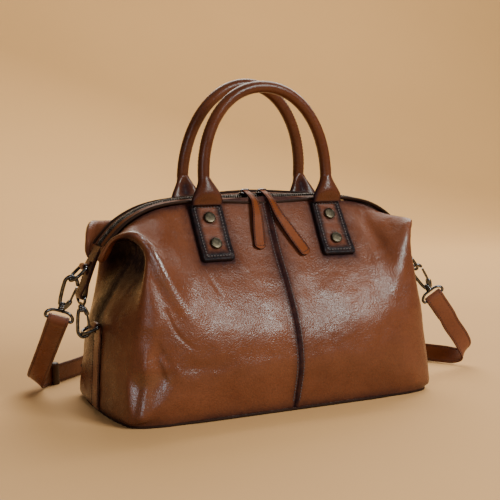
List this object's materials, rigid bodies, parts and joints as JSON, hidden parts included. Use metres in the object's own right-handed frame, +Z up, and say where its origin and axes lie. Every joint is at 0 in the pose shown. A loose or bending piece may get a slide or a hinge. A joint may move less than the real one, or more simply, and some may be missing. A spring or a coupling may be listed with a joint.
{
  "type": "shoulder bag",
  "caption": "Zipped leather shoulder bag with soft winged ends, rolled handles on riveted tabs and a strap on snap hooks.",
  "frame": {"origin": "centre of the flat base, on the floor", "axes": "+X along the bag, -Y out of its front, +Z up"},
  "size_m": [0.4969, 0.3367, 0.3213],
  "materials": {
    "leather": "semi-gloss pebbled tan",
    "dark_leather": "burnished edge",
    "tape": "woven zip tape",
    "gunmetal": "dark gunmetal plate",
    "antique_brass": "antique brass"
  },
  "bodies": {
    "root": {"front_panel_left": "leather", "front_panel_right": "leather", "back_panel": "leather", "base_panel": "leather", "zip_facing_front": "leather", "zip_facing_back": "leather", "handle_front": "leather", "handle_back": "leather", "handle_tab_front_left": "leather", "handle_tab_front_right": "leather", "handle_tab_back_left": "leather", "handle_tab_back_right": "leather", "zip_pull_left": "leather", "zip_pull_right": "leather", "zip_tail_left": "leather", "zip_tail_right": "leather", "ring_loop_left": "leather", "ring_loop_right": "leather", "end_strip_left": "leather", "end_strip_right": "leather", "strap": "leather", "strap_keeper": "leather", "base_piping": "dark_leather", "zip_piping_front": "dark_leather", "zip_piping_back": "dark_leather", "zip_tape": "tape", "rivet_front_left_upper": "antique_brass", "rivet_front_left_lower": "antique_brass", "rivet_front_right_upper": "antique_brass", "rivet_front_right_lower": "antique_brass", "rivet_back_left_upper": "antique_brass", "rivet_back_left_lower": "antique_brass", "rivet_back_right_upper": "antique_brass", "rivet_back_right_lower": "antique_brass", "zip_teeth": "gunmetal", "zip_slider_left": "gunmetal", "zip_slider_right": "gunmetal", "upper_ring_left": "gunmetal", "upper_ring_right": "gunmetal", "lower_ring_left": "gunmetal", "lower_ring_right": "gunmetal", "strap_hook_left": "gunmetal", "strap_hook_right": "gunmetal", "strap_hook_eye_left": "gunmetal", "strap_hook_eye_right": "gunmetal", "tail_hook_left": "gunmetal", "tail_hook_right": "gunmetal", "tail_hook_eye_left": "gunmetal", "tail_hook_eye_right": "gunmetal"},
    "strap_hook_gate_left": {"strap_hook_gate_left": "gunmetal"},
    "strap_hook_gate_right": {"strap_hook_gate_right": "gunmetal"},
    "tail_hook_gate_left": {"tail_hook_gate_left": "gunmetal"},
    "tail_hook_gate_right": {"tail_hook_gate_right": "gunmetal"}
  },
  "joints": [
    {"name": "strap_hook_gate_left_hinge", "type": "hinge", "parent": "root", "child": "strap_hook_gate_left", "pos_m": [-0.19593, 0.00311, 0.107], "axis": [-0.4356, -0.8913, -0.1258], "range_deg": [0, 20], "stiffness_Nm_per_rad": 0.002},
    {"name": "strap_hook_gate_right_hinge", "type": "hinge", "parent": "root", "child": "strap_hook_gate_right", "pos_m": [0.21394, -0.00288, 0.10321], "axis": [-0.1814, -0.9833, -0.0131], "range_deg": [0, 20], "stiffness_Nm_per_rad": 0.002},
    {"name": "tail_hook_gate_left_hinge", "type": "hinge", "parent": "root", "child": "tail_hook_gate_left", "pos_m": [-0.18079, -0.00146, 0.09598], "axis": [0.3011, 0.9536, 0.006], "range_deg": [0, 20], "stiffness_Nm_per_rad": 0.002},
    {"name": "tail_hook_gate_right_hinge", "type": "hinge", "parent": "root", "child": "tail_hook_gate_right", "pos_m": [0.18079, -0.00146, 0.09598], "axis": [0.3011, -0.9536, -0.006], "range_deg": [0, 20], "stiffness_Nm_per_rad": 0.002}
  ]
}
